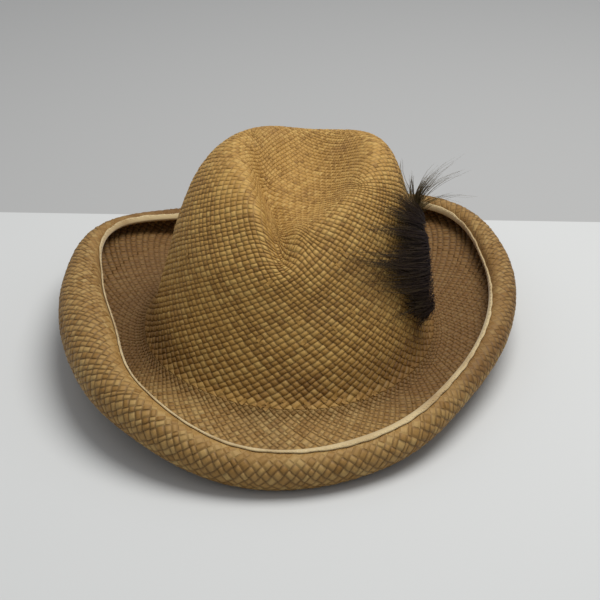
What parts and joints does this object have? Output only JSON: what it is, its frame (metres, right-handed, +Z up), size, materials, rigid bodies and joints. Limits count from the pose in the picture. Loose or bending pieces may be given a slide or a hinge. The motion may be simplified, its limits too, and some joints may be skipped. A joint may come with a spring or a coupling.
{
  "type": "straw cowboy hat",
  "caption": "Woven straw cowboy hat: dented crown, brim with its edge rolled up and over all round, cloth edge binding, dark tuft at the wearer's left.",
  "frame": {"origin": "centre of the whole hat's plan, on the level surface it rests on", "axes": "+Z up through the crown, the front of the hat towards -Y, the wearer's left towards +X"},
  "size_m": [0.2696, 0.3276, 0.1184],
  "materials": {
    "crown_straw": "plaited palm straw, matt with a slight sheen",
    "brim_straw": "plaited palm straw, matt, worn brown at the roll",
    "binding_cloth": "cream cotton tape, stitched",
    "plume_barbs": "soft dark barbs with a low sheen"
  },
  "bodies": {
    "root": {"crown": "crown_straw", "brim": "brim_straw", "edge_binding": "binding_cloth", "plume": "plume_barbs"}
  },
  "joints": []
}
